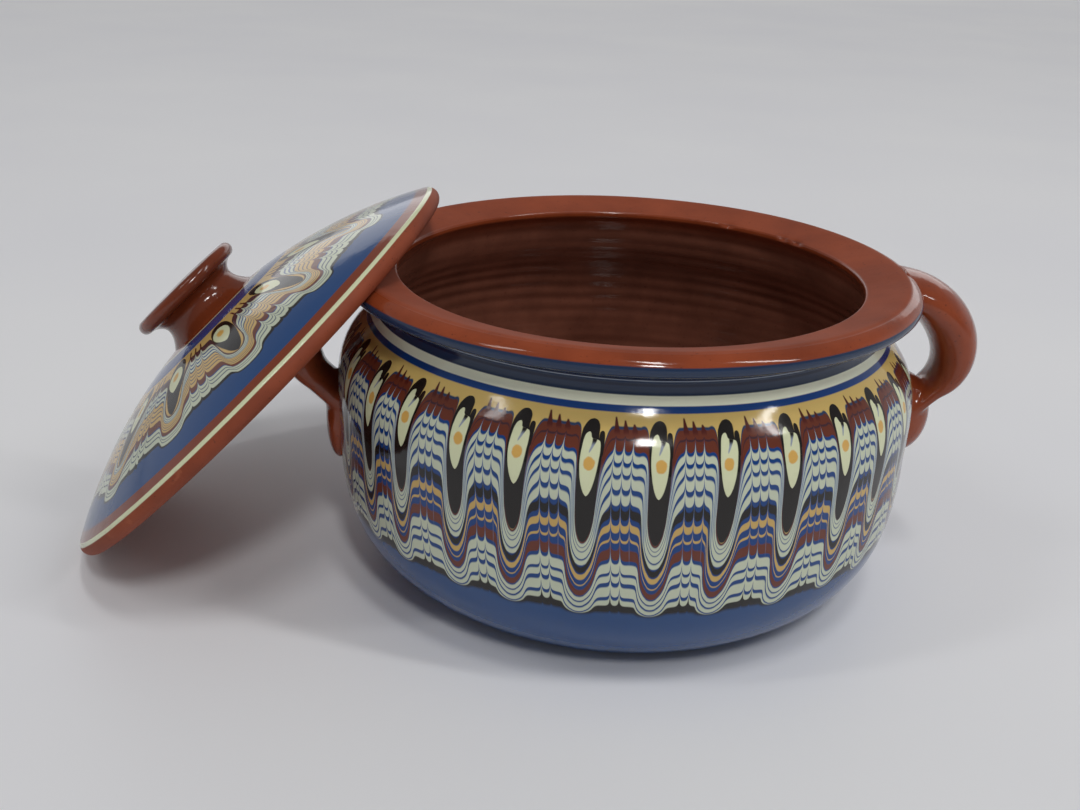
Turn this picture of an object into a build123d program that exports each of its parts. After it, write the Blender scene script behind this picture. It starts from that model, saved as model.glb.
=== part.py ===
"""Glazed earthenware casserole: a thrown pot with loop handles and a loose domed lid leaning on its rim.

The pot stands on the XY plane with its axis on Z, the handles lie on +X and -X,
and the lid leans towards -X with its lowest edge on the same plane. Millimetres and degrees.
"""

from build123d import *

import os
from math import cos, degrees, radians, sin, sqrt

# Pot, outside
belly_radius = 119.2
belly_drop = 71.0
base_inset = 35.2
foot_spread = 6.0
foot_rise = 1.6
lower_wall_inset = 9.7
lower_wall_height = 18.5
shoulder_inset = 4.2
shoulder_drop = 33.0

# Pot, rim with the sloping seat for the lid
pot_height = 133.0
rim_radius = 118.0
rim_drop = 5.0
rim_round = 3.2
neck_inset = 13.5
neck_drop = 16.0
crest_inset = 7.0
rim_width = 22.7
seat_drop = 4.2
lip_height = 4.0

# Pot, inside
wall = 7.0
floor_thickness = 8.0

# Handles: a strap bent round a loop, with its ends run into the wall and a tail pressed onto the belly
loop_head_inset = 2.8
loop_foot_inset = 4.0
loop_centre_drop = 32.6
loop_radius = 23.8
left_handle_drop = 5.0
left_handle_turn = 5.0
loop_start_angle = 80.0
loop_end_angle = -46.0
loop_stations = 9
strap_root_width = 33.0
strap_grip_width = 33.0
strap_end_width = 27.0
strap_root_thickness = 13.5
strap_grip_thickness = 18.2
strap_end_thickness = 12.0
strap_head_run = 16.0
strap_foot_run = 21.0
tail_drop = 31.4
tail_half_length = 18.5
tail_half_width = 13.0
tail_thickness = 13.5

# Lid
lid_inset = 11.8
lid_edge_height = 7.5
lid_edge_round = 2.5
lid_edge_land = 1.0
lid_dome_rise = 27.0
lid_wall = 5.5

# Knob on the lid
knob_base_radius = 22.2
knob_neck_radius = 18.0
knob_neck_height = 6.5
knob_cap_radius = 26.2
knob_cap_thickness = 4.4
knob_height = 15.4
knob_crown = 2.4
knob_shift = 1.9

# How the lid leans
lid_lean = 45.9
lid_turn = -3.0
rest_gap = 0.3
first_step = 16.0
last_step = 0.01
rim_line_count = 5

# Sizes that follow from those above
wall_diagonal = wall * cos(radians(45))
base_radius = belly_radius - base_inset
lower_wall_radius = belly_radius - lower_wall_inset
belly_height = pot_height - belly_drop
shoulder_radius = belly_radius - shoulder_inset
shoulder_height = pot_height - shoulder_drop
neck_height = pot_height - neck_drop
loop_centre_height = pot_height - loop_centre_drop
tail_height = loop_centre_height - tail_drop
neck_radius = rim_radius - neck_inset
crest_radius = rim_radius - crest_inset
mouth_radius = rim_radius - rim_width
loop_head_radius = rim_radius - loop_head_inset
loop_foot_radius = belly_radius - loop_foot_inset
loop_centre_radius = max(loop_head_radius, loop_foot_radius)
head_run_in = loop_centre_radius - loop_head_radius + strap_head_run
foot_run_in = (loop_centre_radius - loop_foot_radius) / sin(radians(-loop_end_angle)) + strap_foot_run
lid_radius = rim_radius - lid_inset
seat_edge = (mouth_radius, pot_height - seat_drop)
lid_shoulder_radius = lid_radius - lid_edge_round
lid_top = lid_edge_height + lid_dome_rise
dome_radius = (lid_shoulder_radius**2 + lid_dome_rise**2) / (2 * lid_dome_rise)
dome_centre = Pos(0, 0, lid_top - dome_radius)
knob_top = lid_top + knob_height


def lathe(*edges):
    """Solid of revolution about Z from a closed outline drawn as (radius, height)."""
    return revolve(Plane.YZ * make_face(edges), Axis.Z)


def rim_face():
    """Outer face of the rim, from its widest point up to the crest."""
    widest = (rim_radius, pot_height - rim_drop)
    crest = (crest_radius, pot_height)
    return Spline(widest, crest, tangents=((0, 1), (-1, 0)))


def outside():
    """Outside of the pot, from the middle of the base up round the rim to the edge of the mouth."""
    base = Line((0, 0), (base_radius, 0))
    foot = TangentArc(base @ 1, (base_radius + foot_spread, foot_rise), tangent=base % 1)
    lower_wall = (lower_wall_radius, lower_wall_height)
    belly = (belly_radius, belly_height)
    lower = Spline(foot @ 1, lower_wall, belly, tangents=(foot % 1, (0, 1)))
    shoulder = (shoulder_radius, shoulder_height)
    neck = (neck_radius, neck_height)
    upper = Spline(belly, shoulder, neck, tangents=((0, 1), (0, 1)))
    face = rim_face()
    rim_foot = (rim_radius - rim_round, pot_height - rim_drop - rim_round)
    under_rim = Spline(neck, rim_foot, tangents=((0, 1), (1, 0)))
    curl = TangentArc(rim_foot, face @ 0, tangent=(1, 0))
    seat = Line(face @ 1, seat_edge)
    return [base, foot, lower, upper, under_rim, curl, face, seat]


def inside():
    """Inside of the pot, from the edge of the mouth down to the middle of the floor."""
    lip_foot = (mouth_radius, seat_edge[1] - lip_height)
    lip = Line(seat_edge, lip_foot)
    neck = (neck_radius - wall, neck_height)
    throat = Spline(lip_foot, neck, tangents=((0, -1), (0, -1)))
    shoulder = (shoulder_radius - wall_diagonal, shoulder_height - wall_diagonal)
    belly = (belly_radius - wall, belly_height)
    upper = Spline(neck, shoulder, belly, tangents=((0, -1), (0, -1)))
    lower_wall = (lower_wall_radius - wall_diagonal, lower_wall_height + wall_diagonal)
    corner = (base_radius, floor_thickness)
    lower = Spline(belly, lower_wall, corner, tangents=((0, -1), (-1, 0)))
    floor = Line(corner, (0, floor_thickness))
    return [lip, throat, upper, lower, floor]


def make_pot_body():
    """Thrown pot with its wall, floor, rolled rim and lid seat."""
    return lathe(*outside(), *inside(), Line((0, floor_thickness), (0, 0)))


def make_pot_envelope():
    """The pot filled up to its mouth, to shape whatever is pressed onto its outside."""
    cover = Line(seat_edge, (0, seat_edge[1]))
    return lathe(*outside(), cover, Line(cover @ 1, (0, 0)))


def along_strap(share, root, grip, end):
    """Smooth size along the strap, from its root (share 0) by the grip (0.5) to its end (1)."""
    at_root = (1 - share) * (1 - 2 * share)
    at_grip = 4 * share * (1 - share)
    at_end = share * (2 * share - 1)
    return root * at_root + grip * at_grip + end * at_end


def strap_section(share, drop):
    """Oval section of the strap at a share of the way round its loop, set lower by a drop."""
    angle = radians(loop_start_angle + (loop_end_angle - loop_start_angle) * share)
    outward = Vector(cos(angle), 0, sin(angle))
    forward = Vector(sin(angle), 0, -cos(angle))
    width = along_strap(share, strap_root_width, strap_grip_width, strap_end_width)
    thickness = along_strap(share, strap_root_thickness, strap_grip_thickness, strap_end_thickness)
    centre = Vector(loop_centre_radius, 0, loop_centre_height - drop)
    middle = centre + outward * loop_radius
    return Plane(middle, x_dir=outward, z_dir=forward) * Ellipse(thickness / 2, width / 2)


def strap_sections(drop):
    """Every section of the strap, from its root to its end."""
    return [strap_section(i / (loop_stations - 1), drop) for i in range(loop_stations)]


def make_handle(envelope, drop):
    """Loop handle on the +X side, set lower by a drop and cut where it is pressed onto the pot."""
    sections = strap_sections(drop)
    head = extrude(sections[0], amount=head_run_in, dir=(-1, 0, 0))
    foot = extrude(sections[-1], amount=foot_run_in)
    strap = head + loft(sections) + foot
    ball = Rot(0, 90, 0) * Rot(0, 0, 90) * Sphere(1)
    pressed = scale(ball, by=(tail_thickness, tail_half_width, tail_half_length))
    tail = Pos(belly_radius, 0, tail_height - drop) * pressed
    return strap + tail - envelope


def make_lid():
    """Domed lid, hollow underneath, standing on its own edge."""
    dome = TangentArc((0, lid_top), (lid_shoulder_radius, lid_edge_height), tangent=(1, 0))
    edge = ThreePointArc(dome @ 1, (lid_radius, lid_edge_height / 2), (lid_shoulder_radius, 0))
    land = Line(edge @ 1, (lid_shoulder_radius - lid_edge_land, 0))
    underside = TangentArc((0, lid_top - lid_wall), land @ 1, tangent=(1, 0))
    return lathe(dome, edge, land, underside, Line((0, lid_top - lid_wall), (0, lid_top)))


def make_knob():
    """Spool-shaped knob with a low crown, standing a little off the middle of the lid's dome."""
    base_drop = dome_radius - sqrt(dome_radius**2 - knob_base_radius**2)
    seat = TangentArc((0, lid_top), (knob_base_radius, lid_top - base_drop), tangent=(1, 0))
    neck = (knob_neck_radius, lid_top + knob_neck_height)
    foot = Spline(seat @ 1, neck, tangents=((-1, 1), (0, 1)))
    cap_round = knob_cap_thickness / 2
    cap_flat_radius = knob_cap_radius - cap_round
    flare = Spline(neck, (cap_flat_radius, knob_top - knob_cap_thickness), tangents=((0, 1), (1, 0)))
    cap = CenterArc((cap_flat_radius, knob_top - cap_round), cap_round, -90, 180)
    crown_top = (0, knob_top + knob_crown)
    crown = TangentArc(crown_top, cap @ 1, tangent=(1, 0))
    knob = lathe(seat, foot, flare, cap, crown, Line(crown_top, (0, lid_top)))
    return dome_centre * Rot(0, degrees(knob_shift / dome_radius), 0) * dome_centre.inverse() * knob


def rim_lines():
    """Circles round the pot along the outer face of the rim, where the lid can touch it."""
    face = rim_face()
    points = [face @ (i / (rim_line_count - 1)) for i in range(rim_line_count)]
    return [Pos(0, 0, point.Y) * Edge.make_circle(point.X) for point in points]


def left_side():
    """Turn that takes a handle from the +X side to its place on the left."""
    return Rot(0, 0, 180 + left_handle_turn)


def left_loop_line():
    """Curve along the middle of the left handle's strap."""
    middles = [section.center() for section in strap_sections(left_handle_drop)]
    return left_side() * Spline(*middles)


def lean_location(lid):
    """Where the lid leans: its edge on the table, its underside just off the rim and the handle."""
    tilt = Rot(0, -lid_lean, 0)
    edge_lift = -(tilt * lid).bounding_box().min.Z
    supports = [(line, 0) for line in rim_lines()] + [(left_loop_line(), strap_grip_thickness / 2)]
    reach = -(rim_radius + lid_radius)
    step = first_step
    while step > last_step:
        leaning = Rot(0, 0, lid_turn) * Pos(reach + step, 0, edge_lift) * tilt * lid
        if all(leaning.distance_to(line) > depth + rest_gap for line, depth in supports):
            reach += step
        else:
            step /= 2
    return Rot(0, 0, lid_turn) * Pos(reach, 0, edge_lift) * tilt


def main():
    """Builds every piece in its resting place and writes one file each."""
    pot_body = make_pot_body()
    envelope = make_pot_envelope()
    lid = make_lid()
    leaning = lean_location(lid)
    pieces = {
        "pot_body": pot_body,
        "right_handle": make_handle(envelope, 0),
        "left_handle": left_side() * make_handle(envelope, left_handle_drop),
        "lid": leaning * lid,
        "lid_knob": leaning * make_knob(),
    }
    os.makedirs("parts", exist_ok=True)
    for name, piece in pieces.items():
        export_step(piece, f"parts/{name}.step")


main()
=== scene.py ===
import math

import bmesh
import bpy
import numpy as np
from mathutils import Matrix, Vector


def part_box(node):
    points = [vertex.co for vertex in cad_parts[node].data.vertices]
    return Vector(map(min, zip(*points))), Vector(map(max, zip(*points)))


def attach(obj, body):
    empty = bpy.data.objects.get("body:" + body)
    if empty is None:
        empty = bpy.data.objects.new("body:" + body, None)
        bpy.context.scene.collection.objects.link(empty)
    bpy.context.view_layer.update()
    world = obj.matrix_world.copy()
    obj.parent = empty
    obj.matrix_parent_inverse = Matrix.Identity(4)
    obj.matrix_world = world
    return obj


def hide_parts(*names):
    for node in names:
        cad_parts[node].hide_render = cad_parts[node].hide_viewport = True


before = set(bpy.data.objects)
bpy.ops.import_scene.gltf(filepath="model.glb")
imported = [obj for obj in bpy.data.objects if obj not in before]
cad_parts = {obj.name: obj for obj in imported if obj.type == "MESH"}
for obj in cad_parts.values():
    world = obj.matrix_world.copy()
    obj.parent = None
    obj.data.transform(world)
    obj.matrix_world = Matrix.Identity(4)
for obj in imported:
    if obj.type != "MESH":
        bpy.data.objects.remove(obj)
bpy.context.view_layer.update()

MM = 0.001
ON_AXIS = 1e-9
MAP_UNIT = 100.0

# Pot outline, radius and height in millimetres, nearly as in the solid
BASE_RADIUS = 84.0
FOOT_EDGE = (90.0, 1.6)
LOWER_WALL = (109.5, 18.5)
BELLY = (119.2, 62.0)
SHOULDER = (115.0, 100.0)
NECK = (104.5, 117.0)
RIM_FOOT = (114.8, 124.8)
RIM_WIDEST = (118.0, 128.0)
RIM_CREST = (111.0, 133.0)
SEAT_EDGE = (95.3, 128.8)
SEAT_EDGE_ROUND = 1.0
LIP_FOOT = (95.3, 126.6)
THROAT_WALL = 4.2
WALL = 7.0
WALL_DIAGONAL = WALL * math.cos(math.radians(45))
FLOOR = 8.0
POT_AROUND = 340

# Uneven wall of the pot: each sway has a share, waves round the pot, a phase and a twist per millimetre
SWAY_MIDDLE = 0.5
SWAYS = ((0.25, 2, 0.6, 0.0), (0.15, 3, 2.0, 0.01), (0.1, 7, 0.0, 0.03))
WALL_SWAY = 0.0016
RIM_SWAY = 0.25
RIM_SWAY_START = 120.0
RIM_SWAY_RISE = 10.0

# Throwing rings inside the pot, in millimetres past the neck along the outline
THROWN_FROM = 50.0
THROWN_RISE = 10.0
THROWN_TO = 240.0
THROWN_FADE = 15.0
THROWN_DEPTH = 0.22
THROWN_WAVE = 0.95
THROWN_WANDER = 1.1
THROWN_TWIST = 0.05

# Grooves under the rim (place past the neck, width) and chips on its inner edge (degrees round, width)
NECK_GROOVES = ((3.4, 0.45), (1.6, 0.4))
GROOVE_DEPTH = 0.45
RIM_CHIPS = ((34.0, 1.6), (39.0, 1.0), (57.0, 1.2))
RIM_EDGE_MEASURE = -44.6
CHIP_LENGTH = 1.1
CHIP_DEPTH = 1.1
CHIP_FALL = 0.8

# Lid and knob outline, standing on the lid's edge before it leans
LID_RADIUS = 106.2
LID_EDGE_HEIGHT = 7.5
LID_EDGE_ROUND = 2.5
LID_EDGE_LAND = 1.0
LID_DOME_RISE = 27.0
LID_WALL = 5.5
LID_SHOULDER = LID_RADIUS - LID_EDGE_ROUND
LID_TOP = LID_EDGE_HEIGHT + LID_DOME_RISE
DOME_RADIUS = (LID_SHOULDER**2 + LID_DOME_RISE**2) / (2 * LID_DOME_RISE)
KNOB_BASE_RADIUS = 22.2
KNOB_NECK_RADIUS = 18.0
KNOB_NECK_HEIGHT = 6.5
KNOB_NECK = (KNOB_NECK_RADIUS, LID_TOP + KNOB_NECK_HEIGHT)
KNOB_CAP_RADIUS = 26.2
KNOB_CAP_THICKNESS = 6.0
KNOB_HEIGHT = 17.0
KNOB_TOP = LID_TOP + KNOB_HEIGHT
KNOB_CROWN = 0.8
KNOB_SHIFT = 1.9
LID_AROUND = 288
KNOB_AROUND = 128

# How the lid leans, in degrees, and the scale that keeps it inside its solid
LID_LEAN = 45.9
LID_TURN = -3.0
LID_FIT = 0.9995

# Handles: strap bent round a loop, its ends run into the wall, and a tail pressed onto the belly
LOOP_CENTRE = (115.2, 100.4)
LOOP_RADIUS = 23.8
LOOP_START = 80.0
LOOP_END = -46.0
STRAP_HEAD_RUN = 15.0
STRAP_HEAD_LIFT = 3.0
STRAP_FOOT_RUN = 20.0
STRAP_SIDES = 48
STRAP_STEPS = 40
TAIL_MIDDLE = (119.2, 69.0)
TAIL_SIDES = 48
TAIL_RINGS = 24
HANDLE_GRAIN = 0.9
HANDLE_SMOOTHING = 14
HANDLE_SOFTNESS = 0.5

# How the handles' ends stay inside the wall: least radius below a height, greatest height within a radius
HANDLE_ROOT = 114.5
HANDLE_ROOT_TOP = 100.0
RIM_COVER_RADIUS = 113.0
RIM_COVER_TOP = 130.0

# Each handle's own shape, with sag, width and thickness at the strap's root, grip and end
LEFT_HANDLE = {
    "turn": 185.0,
    "drop": 5.0,
    "pinch": 5.0,
    "sag": (0.0, 0.0, 0.0),
    "width": (33.0, 33.0, 27.0),
    "thickness": (13.5, 18.2, 12.0),
    "tail_rise": 0.0,
    "tail_axes": (5.8, 12.5, 20.0),
}
RIGHT_HANDLE = {
    "turn": 0.0,
    "drop": 0.0,
    "pinch": 0.0,
    "sag": (0.2, 3.2, 0.8),
    "width": (39.0, 33.0, 27.0),
    "thickness": (16.5, 18.6, 8.0),
    "tail_rise": 1.2,
    "tail_axes": (13.5, 13.0, 18.5),
}


def srgb(r, g, b):
    """Linear colour from 8-bit display values."""
    def one(c):
        c /= 255
        return c / 12.92 if c <= 0.04045 else ((c + 0.055) / 1.055) ** 2.4
    return (one(r), one(g), one(b), 1.0)


# Slips, clays and paints
CREAM = srgb(222, 226, 186)
# LIT_RING_CREAM is the cream slip painted brighter for the ring under the rim: painted light where the rim
# shades it
LIT_RING_CREAM = srgb(250, 251, 224)
WHITE = srgb(203, 210, 186)
BLUE = srgb(20, 64, 128)
NAVY = srgb(18, 64, 130)
# GROOVE_SHADE_NAVY is painted shade: dark navy lines laid where the neck's grooves fall in the rim's shadow
GROOVE_SHADE_NAVY = srgb(22, 34, 62)
SLATE = srgb(42, 63, 98)
NECK_SLATE = srgb(35, 53, 82)
GROUND_BLUE = srgb(38, 75, 127)
OCHRE = srgb(207, 173, 102)
RING_OCHRE = srgb(220, 188, 112)
LID_OCHRE = srgb(211, 176, 108)
PALE_OCHRE = srgb(222, 175, 94)
RED_BROWN = srgb(107, 52, 36)
BLUE_BROWN = srgb(62, 40, 50)
LID_BROWN = srgb(84, 56, 60)
PLUM = srgb(86, 34, 28)
BLACK = srgb(30, 26, 24)
# STREAK_AND_GLINT is both the pale streak slip in each drop's heart and a painted highlight on the ridge
# between the neck's grooves
STREAK_AND_GLINT = srgb(150, 160, 176)
PALE_BLUE = srgb(120, 142, 178)
LIGHT_CLAY = srgb(154, 72, 40)
DARK_CLAY = srgb(130, 58, 31)
DEEP_CLAY = srgb(74, 36, 24)
KNOB_CLAY = srgb(126, 58, 32)
KNOB_SHADE = srgb(104, 46, 25)
RAW_CLAY = srgb(170, 96, 66)
INNER_CLAY = srgb(140, 86, 68)
INNER_SHADE = srgb(108, 65, 51)
FLOOR_SHADE = srgb(238, 238, 241)
FLOOR_LIGHT = srgb(243, 243, 244)

# Drops of slip: how many go round, where they start, and their spacing in millimetres
POT_DROPS = 30
POT_DROP_PHASE = -0.2083
POT_PITCH = 2 * math.pi * BELLY[0] / POT_DROPS
LID_DROPS = 13
LID_DROP_PHASE = 0.883
LID_MEAN_RADIUS = 60.0
LID_PITCH = 2 * math.pi * LID_MEAN_RADIUS / LID_DROPS
COLUMN_SEED = 100.0

# How a stripe dips round a drop: share of the dip against the distance over the dip's half width
SOFT_DIP = ((-2, 0), (-1.45, 0), (-1.28, 0.03), (-1.16, 0.12), (-1.06, 0.3), (-0.96, 0.52), (-0.8, 0.78),
            (-0.51, 0.93), (-0.25, 0.985), (0, 1), (0.25, 0.985), (0.51, 0.93), (0.8, 0.77), (0.95, 0.52),
            (1.08, 0.32), (1.22, 0.18), (1.45, 0.08), (1.75, 0.02), (2, 0))
SHARP_DIP = ((-2, 0), (-1.32, 0), (-1.19, 0.03), (-1.09, 0.14), (-1.0, 0.34), (-0.92, 0.5), (-0.78, 0.68),
             (-0.62, 0.81), (-0.45, 0.9), (-0.25, 0.975), (0, 1), (0.25, 0.975), (0.45, 0.9), (0.62, 0.81),
             (0.78, 0.68), (0.92, 0.5), (1.02, 0.33), (1.14, 0.16), (1.3, 0.05), (1.5, 0.01), (2, 0))

# Rings of slip on the pot: where each starts in millimetres below the neck, its softness and its slip; the
# dark navy lines by the neck's grooves are painted shade, the pale line between them is a painted
# highlight, and the cream ring is painted brighter as painted light
RIM_BORDER = (-20.7, 0.35)
POT_RINGS = (
    (*RIM_BORDER, NECK_SLATE),
    # The two dark navy rings are painted shade along the grooves under the rim
    (-4.7, 0.4, GROOVE_SHADE_NAVY),
    # This pale ring is a painted highlight on the ridge between the neck's grooves
    (-3.1, 0.12, STREAK_AND_GLINT),
    (-2.75, 0.12, NECK_SLATE),
    (-1.5, 0.3, GROOVE_SHADE_NAVY),
    (-0.4, 0.3, NECK_SLATE),
    # The cream ring is painted brighter than its slip, as painted light under the rim's shade
    (2.75, 0.2, LIT_RING_CREAM),
    (6.3, 0.2, NAVY),
    (8.9, 0.25, RING_OCHRE),
)

# Stripes on the pot: level below the neck, dip, half width of the dip, comb gain, softness, slip
UPPER_STRIPES = (
    (14.0, 43.2, 3.55, 0.15, 0.35, SLATE),
    (15.1, 42.1, 3.6, 0.2, 0.3, RED_BROWN),
    (18.5, 39.1, 3.65, 0.25, 0.35, BLUE_BROWN),
    (19.2, 38.5, 3.66, 0.25, 0.35, RED_BROWN),
    (23.2, 34.8, 3.72, 0.95, 0.25, BLUE),
    (24.5, 33.6, 3.78, 1.0, 0.4, WHITE),
    (27.0, 32.4, 4.0, 0.85, 0.22, BLUE),
    (28.6, 31.1, 4.08, 0.85, 0.45, WHITE),
    (31.2, 29.9, 4.3, 0.85, 0.22, BLUE),
    (32.8, 28.7, 4.36, 0.85, 0.45, WHITE),
    (36.5, 27.6, 4.6, 0.9, 0.22, BLUE),
    (38.6, 26.2, 4.66, 0.9, 0.5, WHITE),
    (42.3, 24.3, 4.9, 0.95, 0.3, BLUE),
)
LOWER_STRIPES = (
    (44.3, 23.0, 4.96, 1.0, 0.5, BLACK),
    (48.0, 21.9, 5.05, 0.95, 0.4, BLUE),
    (50.1, 20.4, 5.1, 0.9, 0.3, OCHRE),
    (53.0, 19.7, 5.14, 0.8, 0.3, BLUE),
    (56.0, 18.8, 5.16, 0.7, 0.25, OCHRE),
    (57.0, 18.3, 5.17, 0.7, 0.3, BLUE),
    (59.8, 17.2, 5.2, 0.8, 0.4, RED_BROWN),
    (63.8, 15.7, 5.24, 0.95, 0.25, BLUE),
    (65.4, 14.8, 5.26, 1.0, 0.4, WHITE),
    (69.1, 12.8, 5.3, 0.8, 0.2, BLUE),
    (70.4, 12.2, 5.3, 0.8, 0.4, WHITE),
    (73.0, 11.3, 5.32, 0.85, 0.22, BLUE),
    (74.9, 10.3, 5.34, 0.85, 0.45, WHITE),
    (79.1, 7.8, 5.36, 0.9, 0.22, BLUE),
    (80.7, 6.8, 5.36, 0.9, 0.4, WHITE),
    (83.0, 4.7, 5.3, 1.0, 0.35, BLACK),
    (86.4, 1.7, 5.2, 0.2, 1.0, GROUND_BLUE),
)

# Waver of the pot's pattern: scale of the noise per metre and how far it moves rings, levels and drops
POT_WAVE_SCALE = 14.0
POT_SIDE_SCALE = 22.0
POT_WAVE = 1.6
POT_RING_WAVE = 0.7
POT_SIDE_WAVE = 0.09
DROP_SHIFT = 0.8
DROP_FALL = 0.9
DROP_SLANT = 0.03
DROP_SLANT_ABOUT = 30.0

# Comb lines between the pot's drops: places from the column's middle, and reach and height of cusp and core
POT_COMB = (-3.9, -0.55, 2.75)
POT_CUSP = (0.62, 2.1)
POT_CORE = (0.16, 3.0)
COMB_BOW = 0.05
COMB_BOW_ABOUT = 28.0
COLUMN_SHIFT = 0.9
COLUMN_LEAN = 0.4
LAST_LINE_END = (58.0, 2.5)
THREAD_HALF = (0.12, 0.1)
THREAD_DOWN = ((20.0, 2.0), (64.0, 3.0))
THREAD_SHARE = 0.45
FLANK_ACROSS = ((3.6, 0.4), (5.3, 0.6))
FLANK_DOWN = ((29.0, 3.0), (56.0, 4.0))
FLANK_SHARE = 0.4

# Fingers of slip that the comb drags into the ochre ring
FINGER_TOPS = (10.6, 11.7, 13.0)
FINGER_TOP_SOFT = 0.35
FINGER_END = (16.4, 1.0)
FINGER_HALF_RAMP = (15.5, 0.3, 1.0)
FINGER_SOFT = 0.22
FINGER_LEAN = 0.16
FINGER_LEAN_ABOUT = 15.0

# The pot's drops: edges and half widths of each layer, in millimetres, against millimetres below the neck
DROP_LEFT = ((9, 6), (11, 1.2), (11.6, -1.4), (12.6, -2.5), (14, -3.3), (16, -3.95), (20, -4.2), (27, -4),
             (35, -3.7), (42, -3.45), (48, -3.05), (52, -2.5), (55, -1.6), (56.6, -0.7), (57.4, 3), (60, 6))
DROP_RIGHT = ((9, -6), (11, -1.2), (11.6, 1), (12.6, 1.9), (14, 2.35), (18, 2.45), (20, 3.6), (22, 4.1),
              (27, 4), (35, 3.7), (42, 3.45), (48, 3.05), (52, 2.5), (55, 1.6), (56.6, 0.7), (57.4, -3),
              (60, -6))
LOBE_HALF = ((13, -1), (15.2, -0.5), (15.7, 0.5), (16.6, 0.95), (18, 1.05), (24, 0.9), (26, -1), (30, -1))
LOBE_ACROSS = 3.45
DROP_SOFT = 0.18
HEART_LEFT = ((14, 5), (16.0, -0.6), (16.6, -2.0), (18, -2.75), (22, -3.25), (26, -3.4), (30, -3.05),
              (34, -2.3), (37, -1.35), (38.6, -0.4), (39.4, 1.5), (42, 5))
HEART_RIGHT = ((14, -5), (16.0, -1.4), (16.6, -0.7), (18.2, -0.2), (18.9, 2.2), (19.6, 2.95), (22, 3.25),
               (26, 3.05), (30, 2.7), (34, 2.05), (37, 1.2), (38.6, 0.3), (39.4, -1.5), (42, -5))
HEART_SOFT = 0.16
STREAK_ACROSS = ((15, 1.1), (19, 0.95), (21, 0.4), (24, -0.6), (27, -1.0))
STREAK_HALF = ((15, 1.0), (18, 0.95), (19.5, 0.75), (21, 0.5), (23.0, 0.25), (24.2, -0.4), (27, -1.0))
STREAK_SOFT = 0.22
STREAK_END_SOFT = 0.3
STREAK_FADE = (20.3, 1.0)
POT_DOT = {"halves": (1.95, 2.3), "edge": 1.0, "soft": 0.14, "grain": 420.0, "ragged": 0.5}
POT_DOT_ACROSS = 0.1
POT_DOT_SHIFT = 0.5
POT_DOT_DOWN = 27.2

# Rings and stripes on the lid, as on the pot, with the radius in millimetres as level
LID_RINGS = ((28.2, 0.25, CREAM), (29.7, 0.25, NAVY), (42.7, 0.25, LID_OCHRE))
LID_STRIPES = (
    (51.0, 27.6, 4.7, 0.5, 0.6, LID_BROWN),
    (56.4, 23.1, 4.9, 1.2, 0.35, WHITE),
    (58.6, 21.6, 5.0, 1.0, 0.25, BLUE),
    (59.7, 20.8, 5.0, 1.0, 0.4, WHITE),
    (61.4, 19.8, 5.05, 1.0, 0.25, BLUE),
    (62.5, 19.0, 5.1, 1.0, 0.4, WHITE),
    (64.2, 17.7, 5.1, 1.0, 0.25, SLATE),
    (65.2, 16.9, 5.15, 0.9, 0.4, LID_OCHRE),
    (67.2, 15.8, 5.15, 0.9, 0.25, SLATE),
    (67.8, 15.3, 5.2, 0.9, 0.4, LID_OCHRE),
    (69.7, 14.2, 5.2, 0.9, 0.25, SLATE),
    (70.3, 13.9, 5.2, 0.9, 0.4, LID_OCHRE),
    (72.2, 12.8, 5.2, 0.9, 0.25, SLATE),
    (72.8, 12.5, 5.2, 0.9, 0.4, LID_OCHRE),
    (75.0, 11.1, 5.1, 0.9, 0.4, RED_BROWN),
    (78.7, 8.9, 5.0, 1.0, 0.25, BLUE),
    (79.5, 8.3, 5.0, 1.0, 0.4, WHITE),
    (81.3, 7.6, 4.9, 0.8, 0.22, SLATE),
    (81.9, 7.3, 4.9, 0.8, 0.4, WHITE),
    (83.6, 6.5, 4.8, 0.7, 0.22, SLATE),
    (84.2, 6.2, 4.8, 0.7, 0.4, WHITE),
    (86.6, 5.2, 4.7, 0.4, 0.3, BLACK),
    (88.3, 4.2, 4.7, 0.2, 0.5, GROUND_BLUE),
)
LID_EDGE_BANDS = ((99.8, 0.25, DARK_CLAY), (104.2, 0.25, CREAM), (106.2, 0.25, DARK_CLAY))

# Waver, comb and drops of the lid's pattern
LID_WAVE_SCALE = 16.0
LID_SIDE_SCALE = 20.0
LID_WAVE = 1.8
LID_RING_WAVE = 0.5
LID_SIDE_WAVE = 0.1
LID_DROP_SHIFT = 2.0
LID_DROP_FALL = 1.6
LID_FALL_RAMP = (45.0, 90.0, 0.2, 1.0)
LID_COLUMN_SHIFT = 1.8
LID_COMB = (-3.6, -0.1, 3.4)
LID_CUSP = (0.9, 2.0)
LID_CORE = (0.25, 3.0)
TICK_HALF = (0.5, 0.3)
TICK_DOWN = ((45.4, 0.5), (52.0, 1.0))
LID_DROP_HALF = ((42, -4), (43.6, 0.3), (44.4, 2.4), (46.5, 4.2), (50, 5.2), (56, 5.3), (61, 4.9),
                 (66, 4.1), (70, 3.3), (75, 2.2), (77.4, 1.2), (78.6, 0.2), (80, -3), (82, -4))
LID_DROP_SOFT = 0.2
LID_HEART_HALF = ((46, -4), (48.7, 0.2), (49.4, 1.8), (51.5, 3.5), (55, 4.2), (58, 3.9), (61, 2.9),
                  (63.6, 1.5), (65, 0.2), (66.5, -3), (68, -4))
LID_HEART_ACROSS = -0.6
LID_HEART_SOFT = 0.18
LID_DOT = {"halves": (1.9, 2.9), "edge": 0.95, "soft": 0.3, "grain": 380.0, "ragged": 0.6}
LID_DOT_ACROSS = -0.9
LID_DOT_DOWN = 54.9

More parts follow.
